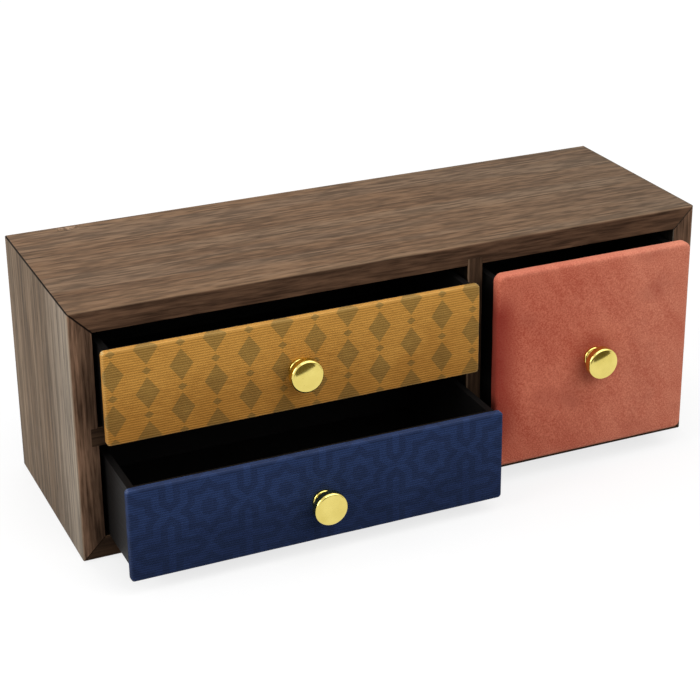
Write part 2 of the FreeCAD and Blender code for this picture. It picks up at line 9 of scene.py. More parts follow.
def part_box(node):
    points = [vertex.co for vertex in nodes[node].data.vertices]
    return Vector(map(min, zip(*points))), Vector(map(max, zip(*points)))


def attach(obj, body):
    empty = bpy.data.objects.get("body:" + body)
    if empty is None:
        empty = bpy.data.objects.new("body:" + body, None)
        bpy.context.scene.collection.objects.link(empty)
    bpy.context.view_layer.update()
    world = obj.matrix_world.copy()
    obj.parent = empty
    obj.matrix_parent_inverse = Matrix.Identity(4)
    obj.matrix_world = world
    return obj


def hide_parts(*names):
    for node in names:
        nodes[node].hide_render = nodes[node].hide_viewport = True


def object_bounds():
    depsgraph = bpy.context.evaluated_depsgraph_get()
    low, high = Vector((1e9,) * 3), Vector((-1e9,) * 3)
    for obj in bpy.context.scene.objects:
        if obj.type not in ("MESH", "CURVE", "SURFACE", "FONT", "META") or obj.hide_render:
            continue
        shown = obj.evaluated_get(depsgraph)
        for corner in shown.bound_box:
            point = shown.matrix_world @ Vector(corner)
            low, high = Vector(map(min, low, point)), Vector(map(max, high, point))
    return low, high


# The desk chest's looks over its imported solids: wood, woven and velvet covers, and brass knobs.
# Lengths are in metres, and in the materials in millimetres. X is across, the front towards -Y, Z up.

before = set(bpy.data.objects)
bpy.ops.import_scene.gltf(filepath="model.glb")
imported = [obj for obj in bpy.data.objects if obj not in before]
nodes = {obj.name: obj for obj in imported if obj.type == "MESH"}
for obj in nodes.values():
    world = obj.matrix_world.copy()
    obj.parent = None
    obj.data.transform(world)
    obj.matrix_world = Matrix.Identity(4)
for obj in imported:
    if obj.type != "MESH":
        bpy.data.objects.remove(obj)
solids_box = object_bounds()

MM = 0.001
DRAWERS = ("upper", "lower", "tall")

# Camera, round the photograph's point of view
CAMERA_AZIMUTH = math.radians(23.77)
CAMERA_ELEVATION = math.radians(22.13)
CAMERA_ROLL = math.radians(-0.61)
CAMERA_DISTANCE = 0.8546
CAMERA_TARGET = Vector((-0.0026, 0.0, 0.0859))
CAMERA_LENS = 95.16
CAMERA_SHIFT_SHARE = -0.1

# Light: a lamp's level is the brightness that it gives a white surface that faces it
WORLD_LEVEL = 0.45
WHITE = (1.0, 1.0, 1.0, 1.0)
FLOOR_SIZE = 12.0
FLOOR_GAP = 0.1 * MM
FLOOR_SHADE = 0.25
FLOOR_GLOW = 0.75
FAR_FLOOR_GLOW = 0.9
FLOOR_FADE = (0.5, 1.5)
LAMPS = {
    # name: place, side of the square lamp, level
    "overhead": (Vector((0.35, -0.75, 1.05)), 1.5, 0.80),
    "left_box": (Vector((-1.10, -0.15, 0.55)), 0.7, 0.55),
    "rear_box": (Vector((-0.10, 0.75, 0.95)), 0.8, 0.30),
}
CARDS = {
    # name: the two ends of its foot
    "left_card": (Vector((-0.075, -0.252, 0.0)), Vector((0.200, -0.430, 0.0))),
    "right_card": (Vector((0.100, -0.222, 0.0)), Vector((0.300, -0.298, 0.0))),
}
CARD_HEIGHT = Vector((0.0, 0.0, 0.09))

# Glue in the mitres
GLUE_THICKNESS = 0.3 * MM
GLUE_RECESS = 0.4 * MM

# Covers and pad of the drawer fronts
WEAVE = {"thickness": 0.6 * MM, "edge": 0.7 * MM, "corner": 1.6 * MM, "swell": 0.1 * MM}
VELVET = {"thickness": 0.7 * MM, "edge": 1.5 * MM, "corner": 3.6 * MM, "swell": 0.7 * MM}
FOAM = {"edge": 0.9 * MM, "corner": 2.9 * MM, "swell": 0.5 * MM}
TURN_IN = 12.0 * MM
BACK_EDGE = 0.5 * MM
SWELL_POWER = 4
SCREW_HOLE = 3.4 * MM
KNOB_DIMPLE = 9.0 * MM
UNEVEN_HEIGHT = 0.1 * MM
UNEVEN_LENGTH = 9.0 * MM
CELL = 1.8 * MM
CORNER_STEPS = 6
EDGE_STEPS = 6
SIDE_STEPS = 3
TURN_STEPS = 6

# Turned knob
KNOB_BASE_RADIUS = 5.1 * MM
KNOB_BASE_RIM = 0.7 * MM
KNOB_BASE_ROUND = 0.8 * MM
KNOB_NECK_RADIUS = 3.6 * MM
KNOB_HEAD_BACK = 5.2 * MM
KNOB_HEAD_ROUND = 0.9 * MM
KNOB_FACE_ROUND = 1.1 * MM
KNOB_CROWN = 0.5 * MM
KNOB_SIDES = 96
KNOB_ARC_STEPS = 10
KNOB_CREASE = math.radians(40)

# Marks in the materials: their length along and width across, in millimetres
MARKS = {
    "wood_drift": (125.0, 50.0),
    "wood_bands": (260.0, 14.0),
    "wood_clouds": (110.0, 11.0),
    "wood_streaks": (130.0, 3.0),
    "wood_flecks": (14.0, 1.4),
    "wood_pores": (7.0, 1.1),
    "wood_ticks": (20.0, 1.3),
    "side_flecks": (50.0, 2.0),
    "side_ticks": (70.0, 1.7),
    "edge_streaks": (18.0, 1.1),
    "edge_patches": (30.0, 5.0),
    "arris_wear_and_highlight": (40.0, 8.0),
    "chip_edge": (2.6, 2.6),
    "chip_specks": (1.8, 2.4),
    "glue_lumps": (3.0, 3.0),
    "stain_fibres": (16.0, 0.6),
    "stain_clouds": (33.0, 20.0),
    "board_fibres": (0.8, 0.8),
    "brass_clouds": (7.0, 7.0),
    "brass_specks": (0.7, 0.7),
    "zinc_clouds": (1.4, 1.4),
    "rib_wander": (20.0, 20.0),
    "yarn_slubs": (6.0, 0.27),
    "cloth_fuzz": (0.45, 0.45),
    "cloth_fading": (28.0, 20.0),
    "cloth_frays": (0.7, 0.7),
    "velvet_patches": (34.0, 26.0),
    "velvet_strokes": (9.0, 30.0),
    "velvet_pile": (0.7, 0.7),
    "foam_cells": (0.55, 0.55),
}

# How far apart the runs of neighbouring fibres lie in the noise, as a count of marks
FIBRE_STRIDE = 3.7

# Values between which a mark fades in
FADES = {
    "wood_figure": (0.3, 0.7),
    "wood_clouds": (0.4, 0.62),
    "wood_streaks": (0.54, 0.68),
    "wood_flecks": (0.58, 0.72),
    "wood_ticks": (0.36, 0.64),
    "wood_pores": (0.58, 0.7),
    "edge_figure": (0.32, 0.68),
    "arris_wear_and_highlight": (0.2, 0.6),
    "chip_edge": (0.9, 1.1),
    "chip_specks": (0.4, 0.6),
    "brass_specks": (0.74, 0.8),
    "lozenges": (0.92, 1.04),
    "stars": (-0.25, 0.35),
    "cloth_tone": (0.28, 0.72),
    "cloth_frays": (0.44, 0.56),
    "velvet_light": (0.34, 0.66),
    "velvet_patches": (0.5, 0.72),
}

# Sums of marks: each one's share, and the level under them as base. Heights are in millimetres.
SUMS = {
    "wood_figure": {"bands": 0.3, "streaks": 0.4, "flecks": 0.3},
    "wood_darkness": {"lines": 0.24, "pores": 0.16},
    "wood_roughness": {"base": 0.45, "pores": 0.2},
    "wood_height": {"pores": 0.05, "streaks": 0.03},
    "edge_figure": {"streaks": 0.5, "patches": 0.5},
    "stain_roughness": {"base": 0.42, "fibres": 0.2},
    "brass_roughness": {"base": 0.07, "clouds": 0.05, "specks": 0.1},
    "zinc_roughness": {"base": 0.28, "clouds": 0.2},
    "print_soak": {"base": 0.72, "fuzz": 0.4},
    # cloth_tone's rise is painted light: the cloth lighter towards the top of each front
    "cloth_tone": {"fading": 0.35, "slubs": 0.35, "rise": 0.3},
    # Crests and yarns: painted shade in the hollows of the rib and between the yarns; slubs: the yarn's own
    # tone
    "cloth_shade_and_slubs": {"base": 0.71, "crests": 0.32, "slubs": 0.12, "yarns": 0.05},
    "cloth_height": {"crests": 0.12, "crossings": 0.03, "slubs": 0.06},
    "velvet_light": {"patches": 0.2, "strokes": 0.2, "pile": 0.6},
    # Painted shade along the velvet's left edge
    "velvet_left_shade": {"base": 0.5, "patches": 0.6},
    # Painted highlight along the velvet's edges
    "velvet_edge_highlight": {"edges": 0.15, "folds": 0.4},
}

# Heights of single marks, in millimetres
HEIGHTS = {
    "glue_lumps": 0.1,
    "stain_fibres": 0.04,
    "board_fibres": 0.06,
    "velvet_pile": 0.2,
    "foam_cells": 0.3,
}

# How strongly tones and shades show, as shares
SEAM_SHARE = 0.95
LOW_SEAM_SHARE = 0.3
RIGHT_SEAM_LOSS_SHARE = 0.5
CLOUD_GREY_SHARE = 0.2
RIGHT_GREY_SHARE = 0.2
RIGHT_SHADE_SHARE = 0.1
FLECK_LINE_SHARE = 0.4
TICK_SHARE = 0.6
FRONT_TICK_LOSS_SHARE = 0.3
# Painted light on the side boards: a sheen towards the front, and shade at the foot
SIDE_SHEEN_SHARE = 0.45
SIDE_FOOT_SHADE_SHARE = 0.25
# Painted light at the outer side of the side boards' front edges, and painted shade at their inner side
SIDE_EDGE_LIT_SHARE = 1.5
SIDE_EDGE_SHADED_SHARE = 0.7
WEAR_AND_HIGHLIGHT_SHARE = 0.5
INSIDE_SHADE_SHARE = 0.93
CHIP_SHARE = 0.55
STAIN_CONTRAST_SHARE = 1.6
TARNISH_SHARE = 0.4
FOLD_SHARE = 0.08
FRAY_SHARE = 0.85
KNOB_SHADE_SHARE = 0.45
SMUDGE_SHARE = 0.34

# Sizes in the materials, in millimetres, and shares of them
DRIFT_HEIGHT = 4.0
DRIFT_SLOPE_SHARE = 0.03
EDGE_DRIFT_SHARE = 0.3
FACE_MARGIN = 0.6
FACE_BLUR = 0.4
ARRIS_WIDTH = 1.0
SEAM_WIDTHS = (0.3, 0.7)
SIDE_SHEEN_REACH = 48.0
SIDE_FOOT_SHADE = (0.0, 40.0)
SIDE_EDGE_SHADE_FADE = (8.5, 1.5)
LIT_DEPTH = 1.2
CHIP_PLACE = -121.0
CHIP_SIZE = (11.0, 11.0, 4.0)
CHIP_DEPTH = 0.6
RIB_PITCH = 1.1
RIB_WANDER = 0.5
YARN_PITCH = 0.6
FOLD_WIDTH = 1.4
FRAY_WIDTH = 1.6
LOZENGE_REPEAT = (15.0, 20.0)
LOZENGE_LARGE = (5.4, 7.4)
LOZENGE_SMALL = (2.2, 1.8)
STAR_REPEAT = 34.0
STAR_RING = 6.2
STAR_SHIFT_SHARE = 0.3
STROKE_SLANT_SHARE = 0.5
# Painted shade on the velvet along its left edge
VELVET_SHADE = 15.0
VELVET_SHADE_ENDS = (4.0, 20.0)
# Painted highlight along the velvet's top, right and bottom edges
HIGHLIGHT_EDGE_WIDTH = 3.0
HIGHLIGHT_FOLD_WIDTH = 1.2
# Painted shade round the knob, from its middle outwards
KNOB_SHADE_REACH = (5.0, 17.0)

# Tones, darker and lighter, in the usual values of 0 to 255
TOP_BROWN = ((88, 65, 47), (121, 95, 72))
SIDE_BROWN = ((87, 70, 54), (139, 119, 98))
EDGE_BROWN = ((54, 38, 28), (100, 74, 56))
SIDE_EDGE_BROWN = ((58, 42, 31), (127, 98, 78))
# Front edges of the bottom board, divider and shelf: darker as painted shade under and between the drawers
SHADED_EDGE_BROWN = ((48, 35, 26), (80, 60, 45))
GREY_BROWN = (112, 100, 86)
# The colour of the painted sheen on the side boards
SHEEN_BROWN = (166, 156, 142)
SEAM_BROWN = (10, 6, 4)
# Pale arrises: partly wear, partly a painted highlight
WORN_AND_LIT_BROWN = (156, 128, 102)
BROKEN_BROWN = ((74, 52, 37), (176, 146, 120))
SHADED_BROWN = (12, 10, 9)
GLUE_BROWN = ((12, 8, 6), (34, 23, 16))
CARD_BROWN = (149, 137, 97)
BLACK_STAIN = ((8, 7, 7), (21, 19, 18))
FIBREBOARD = ((132, 98, 66), (186, 150, 110))
BRASS = ((210, 190, 98), (238, 220, 130))
TARNISH = (150, 112, 50)
ZINC = ((172, 172, 168), (214, 213, 206))
MUSTARD = ((170, 117, 49), (203, 147, 68))
MUSTARD_PRINT = ((131, 97, 46), (158, 122, 61))
MUSTARD_THREAD = (222, 204, 150)
NAVY = ((29, 42, 75), (40, 57, 96))
NAVY_PRINT = ((26, 38, 67), (35, 49, 83))
NAVY_THREAD = (104, 116, 148)
# Velvet tones: darker at the left and lighter at the right, as painted light
CORAL_LEFT_IN_SHADE = ((173, 77, 58), (212, 122, 96))
CORAL_RIGHT_IN_LIGHT = ((188, 97, 75), (223, 142, 114))
# Tint of the painted shade at the velvet's left edge and round the knob, and of its deeper smudges
CORAL_DEEP_AND_SHADE = (136, 44, 36)
# Also the tint of the painted highlight on the velvet's edges
CORAL_SHEEN = (236, 168, 142)
FOAM_CREAM = ((206, 196, 166), (240, 234, 212))

# Boards of the carcass: way of the grain, shift of its figure, tones of the faces and of the front edge
BOARDS = {
    "top_board": ("X", 3.0, TOP_BROWN, EDGE_BROWN),
    "bottom_board": ("X", 41.0, TOP_BROWN, SHADED_EDGE_BROWN),
    "left_side": ("Z", 17.0, SIDE_BROWN, SIDE_EDGE_BROWN),
    "right_side": ("Z", 67.0, SIDE_BROWN, SIDE_EDGE_BROWN),
    "divider": ("Z", 89.0, TOP_BROWN, SHADED_EDGE_BROWN),
    "drawer_shelf": ("X", 23.0, TOP_BROWN, SHADED_EDGE_BROWN),
}


def from_srgb(tone):
    """A tone as linear light."""

    def linear(value):
        share = value / 255
        if share <= 0.04045:
            return share / 12.92
        return ((share + 0.055) / 1.055) ** 2.4

    return (*map(linear, tone), 1.0)


class Wire:
    """A number or colour in a node tree. Sums and products of wires become Math nodes."""

    def __init__(self, paint, socket):
        self.paint = paint
        self.socket = socket

    def __add__(self, other):
        return self.paint.math("ADD", self, other)

    def __sub__(self, other):
        return self.paint.math("SUBTRACT", self, other)

    def __mul__(self, other):
        return self.paint.math("MULTIPLY", self, other)

    def __truediv__(self, other):
        return self.paint.math("DIVIDE", self, other)

    def __rsub__(self, other):
        return self.paint.math("SUBTRACT", other, self)

    def __abs__(self):
        return self.paint.math("ABSOLUTE", self)

    __radd__ = __add__
    __rmul__ = __mul__


class Paint:
    """A material with a node tree, and short calls that add nodes to it."""

    def __init__(self, name, constants):
        self.material = bpy.data.materials.new(name)
        self.material.use_nodes = True
        self.tree = self.material.node_tree
        self.shader = self.tree.nodes["Principled BSDF"]
        for socket, value in constants.items():
            self.shader.inputs[socket].default_value = value

    def add(self, kind, **settings):
        node = self.tree.nodes.new(kind)
        for name, value in settings.items():
            setattr(node, name, value)
        return node

    def feed(self, socket, value):
        if isinstance(value, Wire):
            self.tree.links.new(value.socket, socket)
        else:
            socket.default_value = value

    def finish(self, **values):
        """Feeds the shader's sockets, named with _ for a space."""
        for name, value in values.items():
            self.feed(self.shader.inputs[name.replace("_", " ").title()], value)
        return self.material

    def math(self, operation, *values):
        node = self.add("ShaderNodeMath", operation=operation)
        for socket, value in zip(node.inputs, values):
            self.feed(socket, value)
        return Wire(self, node.outputs[0])

    def parts(self, socket):
        """The three numbers of a vector of lengths, in millimetres."""
        scaled = self.add("ShaderNodeVectorMath", operation="SCALE")
        self.tree.links.new(socket, scaled.inputs[0])
        scaled.inputs["Scale"].default_value = 1 / MM
        split = self.add("ShaderNodeSeparateXYZ")
        self.tree.links.new(scaled.outputs[0], split.inputs[0])
        return [Wire(self, output) for output in split.outputs]

    def places(self):
        """Where a point is on the object, in millimetres."""
        return self.parts(self.add("ShaderNodeTexCoord").outputs["Object"])

    def cloth_places(self):
        """Where a point is on the flat cloth, across and up, in millimetres."""
        return self.parts(self.add("ShaderNodeUVMap", uv_map="flat").outputs[0])[:2]

    def mark(self, name, along, across, through=0.0, detail=2.0, roughness=0.5):
        """Soft noise from 0 to 1 with features of a mark's size."""
        length, width = MARKS[name]
        place = self.add("ShaderNodeCombineXYZ")
        for socket, value, size in zip(place.inputs, (along, across, through), (length, width, width)):
            self.feed(socket, value / size)
        node = self.add("ShaderNodeTexNoise")
        node.inputs["Scale"].default_value = 1.0
        node.inputs["Detail"].default_value = detail
        node.inputs["Roughness"].default_value = roughness
        self.tree.links.new(place.outputs[0], node.inputs["Vector"])
        return Wire(self, node.outputs[0])

    def fibres(self, name, along, across, through):
        """Noise from 0 to 1 along straight fibres of a mark's size, each unlike its neighbours."""
        width = MARKS[name][1]
        rows = [self.math("FLOOR", place / width) * (width * FIBRE_STRIDE) for place in (across, through)]
        return self.mark(name, along, *rows, roughness=0.6)

    def step(self, value, low, high):
        """A smooth step from 0 where value is under low to 1 where it is over high."""
        node = self.add("ShaderNodeMapRange", interpolation_type="SMOOTHSTEP")
        self.feed(node.inputs["Value"], value)
        node.inputs["From Min"].default_value = low
        node.inputs["From Max"].default_value = high
        return Wire(self, node.outputs[0])

    def falling(self, value, low, high):
        return 1.0 - self.step(value, low, high)

    def fade(self, name, value):
        """A smooth step over the values where a mark fades in."""
        return self.step(value, *FADES[name])

    def larger(self, first, second):
        return self.math("MAXIMUM", first, second)

    def smaller(self, first, second):
        return self.math("MINIMUM", first, second)

    def distance(self, first, second):
        return self.math("SQRT", first * first + second * second)

    def blend(self, share, first, second):
        node = self.add("ShaderNodeMix", data_type="RGBA")
        sockets = [socket for socket in node.inputs if socket.enabled]
        for socket, value in zip(sockets, (share, first, second)):
            self.feed(socket, value)
        output = next(socket for socket in node.outputs if socket.enabled)
        return Wire(self, output)

    def tones(self, share, pair):
        """A colour between a darker and a lighter tone."""
        return self.blend(share, from_srgb(pair[0]), from_srgb(pair[1]))

    def tint(self, share, colour, tone):
        return self.blend(share, colour, from_srgb(tone))

    def shade(self, colour, level):
        """The colour made darker or lighter by a number about 1."""
        node = self.add("ShaderNodeVectorMath", operation="SCALE")
        self.feed(node.inputs[0], colour)
        self.feed(node.inputs["Scale"], level)
        return Wire(self, node.outputs[0])

    def bump(self, height):
        """A normal from a height in millimetres."""
        node = self.add("ShaderNodeBump")
        node.inputs["Distance"].default_value = MM
        self.feed(node.inputs["Height"], height)
        return Wire(self, node.outputs[0])

    def relief(self, name, mark):
        return self.bump(mark * HEIGHTS[name])


def total(name, **parts):
    """A sum of marks, each times its share."""
    parts["base"] = 1.0
    return sum(parts[part] * share for part, share in SUMS[name].items())


def knob_centre(drawer):
    """Where a drawer's knob is on its front, across and up."""
    low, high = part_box(f"{drawer}_knob")
    return Vector((low.x + high.x, low.z + high.z)) / 2


def box_in_mm(node):
    """The lowest and highest corners of a solid, in millimetres."""
    return [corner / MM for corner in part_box(node)]


def along_grain(places, grain):
    """A board's coordinates along its grain, across it and through it."""
    x, y, z = places
    return {"X": (x, y, z), "Y": (y, x, z), "Z": (z, y, x)}[grain]


def carcass_masks(paint, places):
    """Where a point of the carcass is: front edge, outer arris, a mitre's seam, or an inner face that gets
    painted shade.
    """
    x, y, z = places
    half_width = solids_box[1].x / MM
    top_low, top_high = box_in_mm("top_board")
    half_depth = top_high.y
    top = top_high.z
    ceiling = top_low.z
    board = top - ceiling
    back = box_in_mm("back_panel")[0].y

    def beyond(value, limit, blur=FACE_BLUR):
        return paint.step(value, limit - blur, limit)

    def within(value, limit):
        return paint.falling(value, limit, limit + FACE_BLUR)

    front = beyond(0.0 - y, half_depth)
    outer = paint.larger(beyond(z, top, ARRIS_WIDTH), beyond(abs(x), half_width, ARRIS_WIDTH))
    arris = outer * beyond(abs(y), half_depth, ARRIS_WIDTH)
    from_side = half_width - abs(x)
    from_mitre = abs(from_side - paint.smaller(z, top - z))
    mitred = within(from_side, board)
    upper_seam = LOW_SEAM_SHARE + paint.step(z, board, ceiling) * (1.0 - LOW_SEAM_SHARE)
    left_seam = 1.0 - paint.step(x, 0.0, half_width) * RIGHT_SEAM_LOSS_SHARE
    seam = paint.falling(from_mitre, *SEAM_WIDTHS) * mitred * upper_seam * left_seam
    between = within(abs(x), half_width - board) * within(z, ceiling) * beyond(z, board)
    shaded_inside = between * within(y, back) * paint.step(y, FACE_MARGIN - half_depth, LIT_DEPTH - half_depth)
    return front, arris, seam, shaded_inside


def chip(paint, places, corner):
    """A small broken place at the back edge of the top: how broken a point is, and its tone."""
    offsets = [place - middle for place, middle in zip(places, (CHIP_PLACE, corner.y, corner.z))]
    x, y, z = [offset / size for offset, size in zip(offsets, CHIP_SIZE)]
    ragged = paint.distance(paint.distance(x, y), z) + paint.mark("chip_edge", *places, detail=3.0)
    specks = paint.fade("chip_specks", paint.mark("chip_specks", *places))
    return 1.0 - paint.fade("chip_edge", ragged), paint.tones(specks, BROKEN_BROWN)


def wood_marks(paint, grain, along, across, drift, depth):
    """The marks of a board: its ticks lie on straight fibres, and the rest follow the grain's drift."""
    kind = "side" if grain == "Z" else "wood"
    side = across + drift
    return SimpleNamespace(
        bands=paint.mark("wood_bands", along, side, depth),
        clouds=paint.mark("wood_clouds", along, side, depth),
        streaks=paint.mark("wood_streaks", along, side, depth, detail=4.0, roughness=0.6),
        flecks=paint.mark(f"{kind}_flecks", along, side, depth, detail=3.0, roughness=0.6),
        ticks=paint.fibres(f"{kind}_ticks", along, across, depth),
        pores=paint.mark("wood_pores", along, side, depth, detail=1.0),
    )


def wood_face(paint, marks, x, tones):
    """The colour of a board's faces, greyer in clouds and towards the right."""
    right_end = paint.step(x, 0.0, solids_box[1].x / MM)
    figure = total("wood_figure", bands=marks.bands, streaks=marks.streaks, flecks=marks.flecks)
    colour = paint.tones(paint.fade("wood_figure", figure), tones)
    greyed = paint.fade("wood_clouds", marks.clouds) * CLOUD_GREY_SHARE + right_end * RIGHT_GREY_SHARE
    return paint.shade(paint.tint(greyed, colour, GREY_BROWN), 1.0 - right_end * RIGHT_SHADE_SHARE)


def wood_edge(paint, along, side, tones):
    """The colour of a board's front edge: fine streaks in patches."""
    streaks = paint.mark("edge_streaks", along, side, detail=3.0, roughness=0.6)
    patches = paint.mark("edge_patches", along, side)
    figure = total("edge_figure", streaks=streaks, patches=patches)
    return paint.tones(paint.fade("edge_figure", figure), tones)


def side_face(paint, node, places, face):
    """A side board's face, with a painted sheen towards its front and painted shade at its foot."""
    front = box_in_mm(node)[0].y
    sheen = paint.falling(places[1], front, front + SIDE_SHEEN_REACH)
    # Painted shade, darker towards the floor
    foot = paint.falling(places[2], *SIDE_FOOT_SHADE)
    return paint.shade(paint.tint(sheen * SIDE_SHEEN_SHARE, face, SHEEN_BROWN), 1.0 - foot * SIDE_FOOT_SHADE_SHARE)


def side_edge_shading(paint, x, edge):
    """A side board's front edge, with painted light towards the outside of the chest and painted shade
    towards the drawer openings.
    """
    half_width = solids_box[1].x / MM
    # Painted shade towards the openings, painted light at the outer arris
    inner = paint.falling(abs(x), *[half_width - inset for inset in SIDE_EDGE_SHADE_FADE])
    loss = inner * (SIDE_EDGE_LIT_SHARE - SIDE_EDGE_SHADED_SHARE)
    return paint.shade(edge, SIDE_EDGE_LIT_SHARE - loss)


def wood_level(paint, marks, front):
    """How light the fine marks make the wood: pale and dark ticks, dark lines and pores."""
    long_lines = paint.fade("wood_streaks", marks.streaks)
    short_lines = paint.fade("wood_flecks", marks.flecks) * FLECK_LINE_SHARE
    pores = paint.fade("wood_pores", marks.pores)
    darkness = total("wood_darkness", lines=paint.larger(long_lines, short_lines), pores=pores)
    ticks = paint.fade("wood_ticks", marks.ticks) - 0.5
    return 1.0 + ticks * (TICK_SHARE - front * FRONT_TICK_LOSS_SHARE) - darkness


def walnut(node, grain, figure, face_tones, edge_tones):
    """Straight-grained brown wood with fine ticks, lines and pores; paler at its arrises from wear and a
    painted highlight; painted shade on its inner faces, and painted light and shade on the side boards.
    """
    paint = Paint(f"walnut_{node}", {"Specular IOR Level": 0.03})
    low, high = box_in_mm(node)
    places = paint.places()
    along, across, through = along_grain(places, grain)
    drift = paint.mark("wood_drift", along, across, figure) * DRIFT_HEIGHT + along * DRIFT_SLOPE_SHARE
    depth = through + figure
    marks = wood_marks(paint, grain, along, across, drift, depth)
    front, arris, seam, shaded_inside = carcass_masks(paint, places)
    face = wood_face(paint, marks, places[0], face_tones)
    edge = wood_edge(paint, along, depth + drift * EDGE_DRIFT_SHARE, edge_tones)
    if node.endswith("_side"):
        face = side_face(paint, node, places, face)
        edge = side_edge_shading(paint, places[0], edge)
    wood = paint.shade(paint.blend(front, face, edge), wood_level(paint, marks, front))
    wood = paint.tint(seam * SEAM_SHARE, wood, SEAM_BROWN)
    if node == "divider":
        arris = front * paint.falling(places[0], low.x, low.x + ARRIS_WIDTH)
    # The arrises paler, partly from wear and partly as a painted highlight
    worn_and_lit = arris * paint.fade("arris_wear_and_highlight", paint.mark("arris_wear_and_highlight", along, across, figure))
    wood = paint.tint(worn_and_lit * WEAR_AND_HIGHLIGHT_SHARE, wood, WORN_AND_LIT_BROWN)
    # Painted shade on the inner faces, past a lit strip at the front
    wood = paint.tint(shaded_inside * INSIDE_SHADE_SHARE, wood, SHADED_BROWN)
    height = total("wood_height", pores=marks.pores, streaks=marks.streaks)
    if node == "top_board":
        broken, chip_colour = chip(paint, places, high)
        wood = paint.blend(broken * CHIP_SHARE, wood, chip_colour)
        height = height - broken * CHIP_DEPTH
    roughness = total("wood_roughness", pores=marks.pores)
    return paint.finish(base_color=wood, roughness=roughness, normal=paint.bump(height))


def dark_glue():
    paint = Paint("mitre_glue", {"Roughness": 0.6, "Specular IOR Level": 0.1})
    lumps = paint.mark("glue_lumps", *paint.places(), detail=3.0)
    return paint.finish(base_color=paint.tones(lumps, GLUE_BROWN), normal=paint.relief("glue_lumps", lumps))


def black_board(name, grain):
    """Thin board with a satin black stain that lets the grain show a little."""
    paint = Paint(name, {"Specular IOR Level": 0.12})
    along, across, through = along_grain(paint.places(), grain)
    fibres = paint.mark("stain_fibres", along, across, through, detail=3.0)
    clouds = paint.mark("stain_clouds", along, across, through)
    return paint.finish(
        base_color=paint.tones(fibres * clouds * STAIN_CONTRAST_SHARE, BLACK_STAIN),
        roughness=total("stain_roughness", fibres=fibres),
        normal=paint.relief("stain_fibres", fibres),
    )


def fibreboard():
    paint = Paint("front_mdf", {"Roughness": 0.85, "Specular IOR Level": 0.2})
    fibres = paint.mark("board_fibres", *paint.places(), detail=4.0, roughness=0.7)
    normal = paint.relief("board_fibres", fibres)
    return paint.finish(base_color=paint.tones(fibres, FIBREBOARD), normal=normal)


def brass():
    """Gold-coloured metal with the fine rings of its turning."""
    paint = Paint("brass", {"Metallic": 1.0, "Anisotropic": 0.4, "Anisotropic Rotation": 0.25})
    places = paint.places()
    clouds = paint.mark("brass_clouds", *places)
    specks = paint.fade("brass_specks", paint.mark("brass_specks", *places, detail=1.0))
    colour = paint.tint(specks * TARNISH_SHARE, paint.tones(clouds, BRASS), TARNISH)
    roughness = total("brass_roughness", clouds=clouds, specks=specks)
    rings = Wire(paint, paint.add("ShaderNodeTangent", direction_type="RADIAL", axis="Y").outputs[0])
    return paint.finish(base_color=colour, roughness=roughness, tangent=rings)


def zinc_steel():
    paint = Paint("zinc_steel", {"Metallic": 1.0})
    clouds = paint.mark("zinc_clouds", *paint.places(), detail=3.0)
    roughness = total("zinc_roughness", clouds=clouds)
    return paint.finish(base_color=paint.tones(clouds, ZINC), roughness=roughness)


def lozenge_print(paint, across, up):
    """Half-drop rows of large and small lozenges."""
    width, height = LOZENGE_REPEAT
    drop = paint.math("PINGPONG", paint.math("FLOOR", across / width), 1.0) * (height / 2)
    x = abs(paint.math("FRACT", across / width) - 0.5) * width
    z = abs(paint.math("FRACT", (up + drop) / height) - 0.5) * height
    large = x / LOZENGE_LARGE[0] + z / LOZENGE_LARGE[1]
    small = x / LOZENGE_SMALL[0] + (height / 2 - z) / LOZENGE_SMALL[1]
    return 1.0 - paint.fade("lozenges", paint.smaller(large, small))


def star_print(paint, across, up):
    """A square lattice of nested eight-pointed stars."""
    x = abs(paint.math("FRACT", across / STAR_REPEAT) - 0.5) * STAR_REPEAT
    z = abs(paint.math("FRACT", up / STAR_REPEAT + STAR_SHIFT_SHARE) - 0.5) * STAR_REPEAT
    star = paint.smaller(paint.larger(x, z), (x + z) * math.sqrt(0.5))
    return paint.fade("stars", paint.math("SINE", star * (2 * math.pi / STAR_RING)))


def half_face(node):
    """Half the width and half the height of a solid's face, in millimetres."""
    low, high = box_in_mm(node)
    return (high.x - low.x) / 2, (high.z - low.z) / 2


def weave_paleness(paint, node, across, up):
    """How pale a weave is: a little along its folds, and more where it frays at the corners."""
    half_width, half_height = half_face(node)
    over_side = abs(across) - half_width
    over_end = abs(up) - half_height
    folded = paint.falling(abs(paint.larger(over_side, over_end)), 0.0, FOLD_WIDTH)
    frays = paint.fade("cloth_frays", paint.mark("cloth_frays", across, up))
    frayed = frays * paint.step(paint.smaller(over_side, over_end), -FRAY_WIDTH, 0.0)
    return paint.larger(folded * FOLD_SHARE, frayed * FRAY_SHARE)


